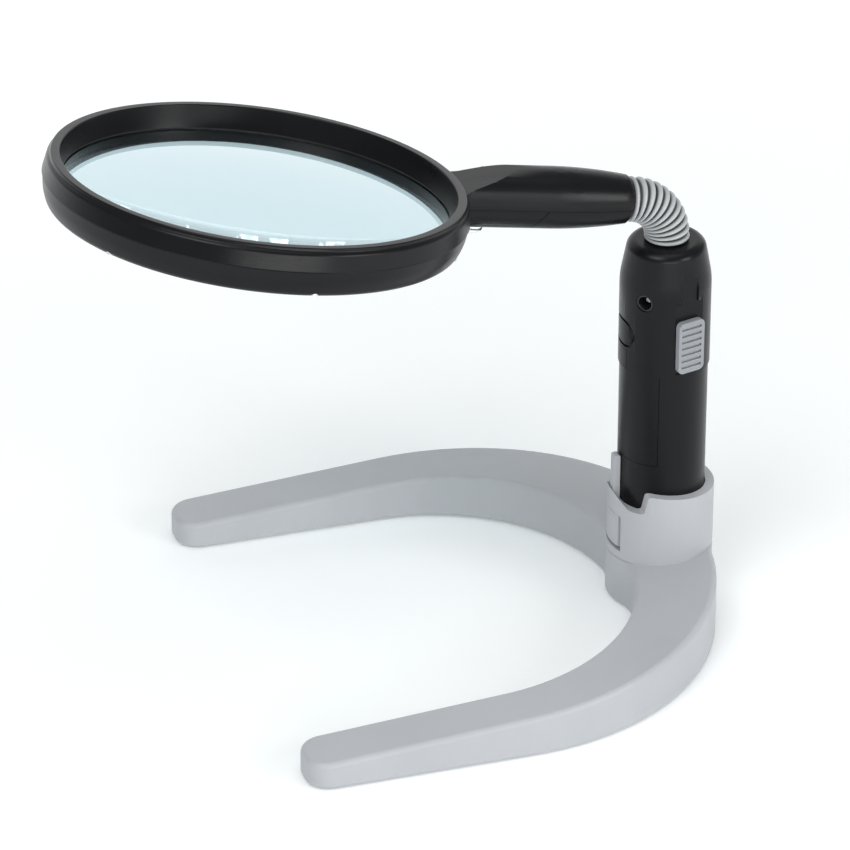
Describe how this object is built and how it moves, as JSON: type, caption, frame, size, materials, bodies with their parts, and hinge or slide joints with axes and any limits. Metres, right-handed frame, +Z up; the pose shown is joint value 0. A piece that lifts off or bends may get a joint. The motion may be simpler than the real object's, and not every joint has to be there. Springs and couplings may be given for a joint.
{
  "type": "stand magnifier",
  "caption": "Illuminated low vision stand magnifier: large framed lens on a short flexible neck, battery handle held in a socket on a horseshoe base.",
  "frame": {"origin": "point on the table below the handle's axis, the face of the middle foot", "axes": "+Z up along the handle, -Y towards the reader, where the horseshoe opens and the lens hangs, +X towards the switch side"},
  "size_m": [0.186, 0.2372, 0.2019],
  "materials": {
    "grey_plastic": "satin",
    "black_plastic": "satin",
    "switch_grey": "satin",
    "sleeve_grey": "matt",
    "foot_rubber": "matt",
    "lens_clear": "polished",
    "lamp_clear": "polished",
    "gasket_black": "matt",
    "steel": "satin",
    "ballast_steel": "zinc plated",
    "contact_brass": "nickel plated",
    "board_green": "satin",
    "component_black": "matt",
    "cell_wrap": "satin",
    "led_white": "satin",
    "inlet_black": "gloss"
  },
  "bodies": {
    "base": {"base_shell": "grey_plastic", "base_cover": "grey_plastic", "base_feet": "foot_rubber", "base_screws": "steel", "ballast_plates": "ballast_steel", "socket": "grey_plastic"},
    "latch": {"latch_tongue": "grey_plastic"},
    "handle": {"grip_tube": "black_plastic", "upper_housing": "black_plastic", "battery_carrier": "component_black", "battery_cells": "cell_wrap", "contact_plates": "contact_brass", "contact_springs": "steel", "switch_body": "component_black", "circuit_board": "board_green", "board_parts": "component_black", "inlet_socket": "inlet_black", "inlet_pin": "steel", "neck_core_base": "steel", "neck_sleeve_1": "sleeve_grey", "handle_nut": "steel"},
    "switch": {"switch_slider": "switch_grey"},
    "door": {"battery_door": "black_plastic"},
    "neck_1": {"neck_core_turn_1": "steel", "neck_sleeve_2": "sleeve_grey"},
    "neck_2": {"neck_core_turn_2": "steel", "neck_sleeve_3": "sleeve_grey"},
    "neck_3": {"neck_core_turn_3": "steel", "neck_sleeve_4": "sleeve_grey"},
    "head": {"neck_core_end": "steel", "neck_sleeve_5": "sleeve_grey", "arm_nut": "steel", "upper_frame": "black_plastic", "lower_frame": "black_plastic", "arm_cover": "black_plastic", "frame_screws": "steel", "lens": "lens_clear", "lens_gasket": "gasket_black", "lamp_lens": "lamp_clear", "lamp_board": "board_green", "lamp_leds": "led_white"}
  },
  "joints": [
    {"name": "handle_lift", "type": "slide", "parent": "base", "child": "handle", "axis": [0, 0, 1], "range_m": [0, 0.06]},
    {"name": "latch_flex", "type": "hinge", "parent": "base", "child": "latch", "pos_m": [0, -0.0177, 0.036], "axis": [-1, 0, 0], "range_deg": [0, 3.5], "stiffness_Nm_per_rad": 1.1},
    {"name": "switch_slide", "type": "slide", "parent": "handle", "child": "switch", "axis": [0, 0, 1], "range_m": [0, 0.005]},
    {"name": "door_pull", "type": "slide", "parent": "handle", "child": "door", "axis": [0, -1, 0], "range_m": [0, 0.02]},
    {"name": "neck_nod_lower", "type": "hinge", "parent": "handle", "child": "neck_1", "pos_m": [0, -0.00024, 0.14518], "axis": [1, 0, 0], "range_deg": [-30, 12], "deforming": ["neck_sleeve_1", "neck_sleeve_2"]},
    {"name": "neck_sway_lower", "type": "hinge", "parent": "neck_1", "child": "neck_2", "pos_m": [0, -0.00214, 0.1504], "axis": [0, 0.866, 0.5], "range_deg": [-22, 22], "deforming": ["neck_sleeve_3"]},
    {"name": "neck_nod_upper", "type": "hinge", "parent": "neck_2", "child": "neck_3", "pos_m": [0, -0.00572, 0.15466], "axis": [1, 0, 0], "range_deg": [-30, 12], "deforming": ["neck_sleeve_4"]},
    {"name": "neck_sway_upper", "type": "hinge", "parent": "neck_3", "child": "head", "pos_m": [0, -0.01053, 0.15744], "axis": [0, 0.342, 0.9397], "range_deg": [-22, 22], "deforming": ["neck_sleeve_5"]}
  ],
  "couplings": [
    {"joint": "neck_nod_lower", "follows": "neck_nod_upper", "ratio": 1},
    {"joint": "neck_sway_lower", "follows": "neck_sway_upper", "ratio": 1}
  ]
}
